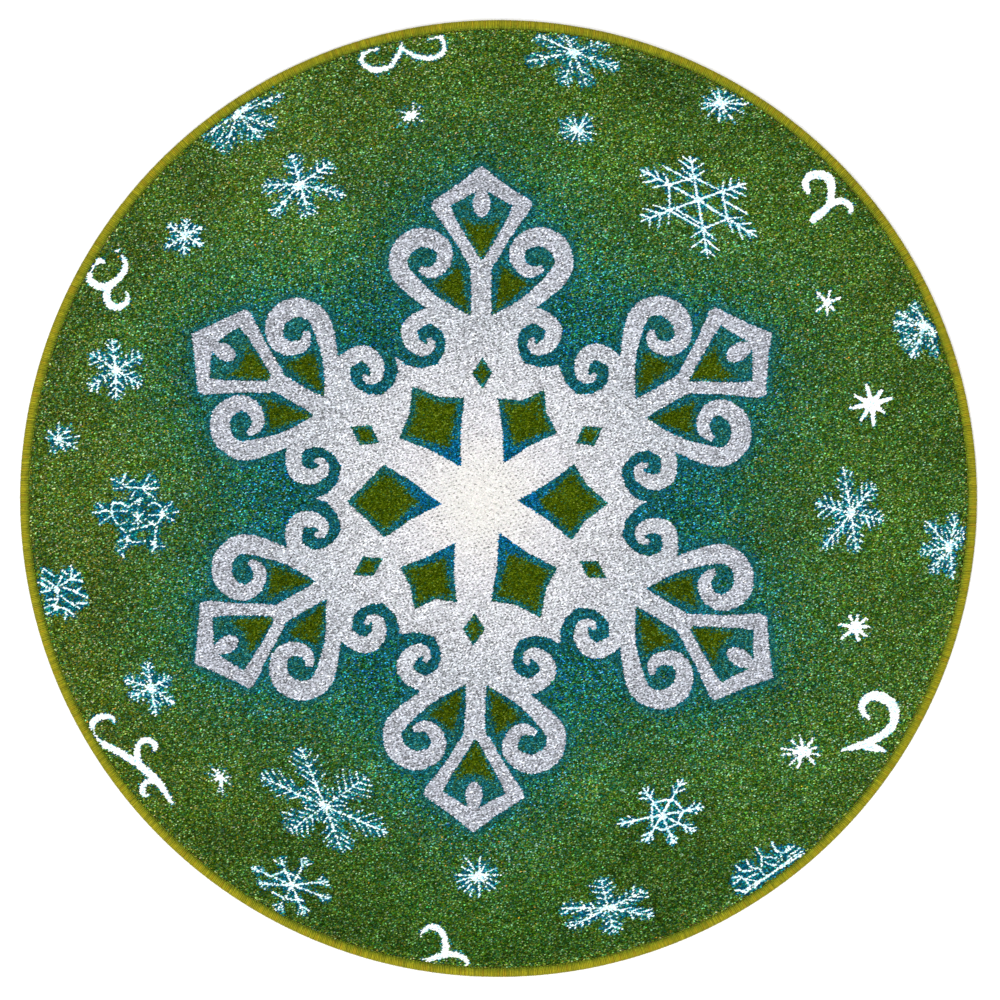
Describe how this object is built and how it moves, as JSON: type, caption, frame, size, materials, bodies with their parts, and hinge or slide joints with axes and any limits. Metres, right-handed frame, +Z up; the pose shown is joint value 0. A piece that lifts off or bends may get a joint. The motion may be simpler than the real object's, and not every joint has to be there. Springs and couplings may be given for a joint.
{
  "type": "tree mat",
  "caption": "Flat round cut-pile mat to lay under a tree, with a large woven snowflake, scattered small snowflakes and scrolls, and a yarn-whipped rim.",
  "frame": {"origin": "centre of the underside, on the floor", "axes": "+Z up out of the pile; +Y towards the top arm of the big snowflake; +X to its right"},
  "size_m": [1.22, 1.22, 0.009],
  "materials": {
    "latex": "matt, dry latex skin over the back weave",
    "jute_cloth": "plain woven backing yarns, matt",
    "pile_green": "cut pile, heather mix of green, olive, dark green and teal tufts",
    "pile_blue": "cut pile, petrol blue and teal tufts",
    "pile_olive": "cut pile, olive tufts",
    "pile_silver": "cut pile, silver-grey tufts with darker grey tufts in rows",
    "pile_ivory": "cut pile, ivory tufts with sparse grey tufts",
    "pile_white": "cut pile, white tufts",
    "serging_gold": "tight gold yarn wraps with a soft sheen",
    "stitch_orange": "fine stitch yarn"
  },
  "bodies": {
    "root": {"edge_serging": "serging_gold", "ground_pile_green": "pile_green", "latex_back_coat": "latex", "medallion_centre_pile_ivory": "pile_ivory", "medallion_diamond_pile_olive": "pile_olive", "medallion_diamond_rim_pile_blue": "pile_blue", "medallion_head_inset_pile_olive": "pile_olive", "medallion_kite_pile_olive": "pile_olive", "medallion_kite_rim_pile_blue": "pile_blue", "medallion_outline_pile_blue": "pile_blue", "medallion_pile_silver": "pile_silver", "medallion_scroll_inset_pile_olive": "pile_olive", "rim_pile_under_serging": "pile_green", "scroll_bottom": "pile_white", "scroll_lower_left_branched": "pile_white", "scroll_lower_right_hook": "pile_white", "scroll_top": "pile_white", "scroll_upper_left": "pile_white", "scroll_upper_right": "pile_white", "serging_lock_stitch": "stitch_orange", "snowflake_01_top": "pile_white", "snowflake_02_top_right": "pile_white", "snowflake_03_top": "pile_white", "snowflake_04_top": "pile_white", "snowflake_05_top_left": "pile_white", "snowflake_06_upper_left": "pile_white", "snowflake_07_upper_left": "pile_white", "snowflake_08_upper_right_star": "pile_white", "snowflake_09_right": "pile_white", "snowflake_10_right_edge": "pile_white", "snowflake_11_right_plain_star": "pile_white", "snowflake_12_left": "pile_white", "snowflake_13_left_edge": "pile_white", "snowflake_14_left_plate": "pile_white", "snowflake_15_right": "pile_white", "snowflake_16_right_edge": "pile_white", "snowflake_17_left_edge_plate": "pile_white", "snowflake_18_right_plain_star": "pile_white", "snowflake_19_lower_left": "pile_white", "snowflake_20_lower_left": "pile_white", "snowflake_21_bottom_left_great": "pile_white", "snowflake_22_bottom_left": "pile_white", "snowflake_23_bottom": "pile_white", "snowflake_24_bottom": "pile_white", "snowflake_25_lower_right_star": "pile_white", "snowflake_26_lower_right_edge": "pile_white", "snowflake_27_lower_right": "pile_white", "woven_ground_cloth": "jute_cloth"}
  },
  "joints": []
}
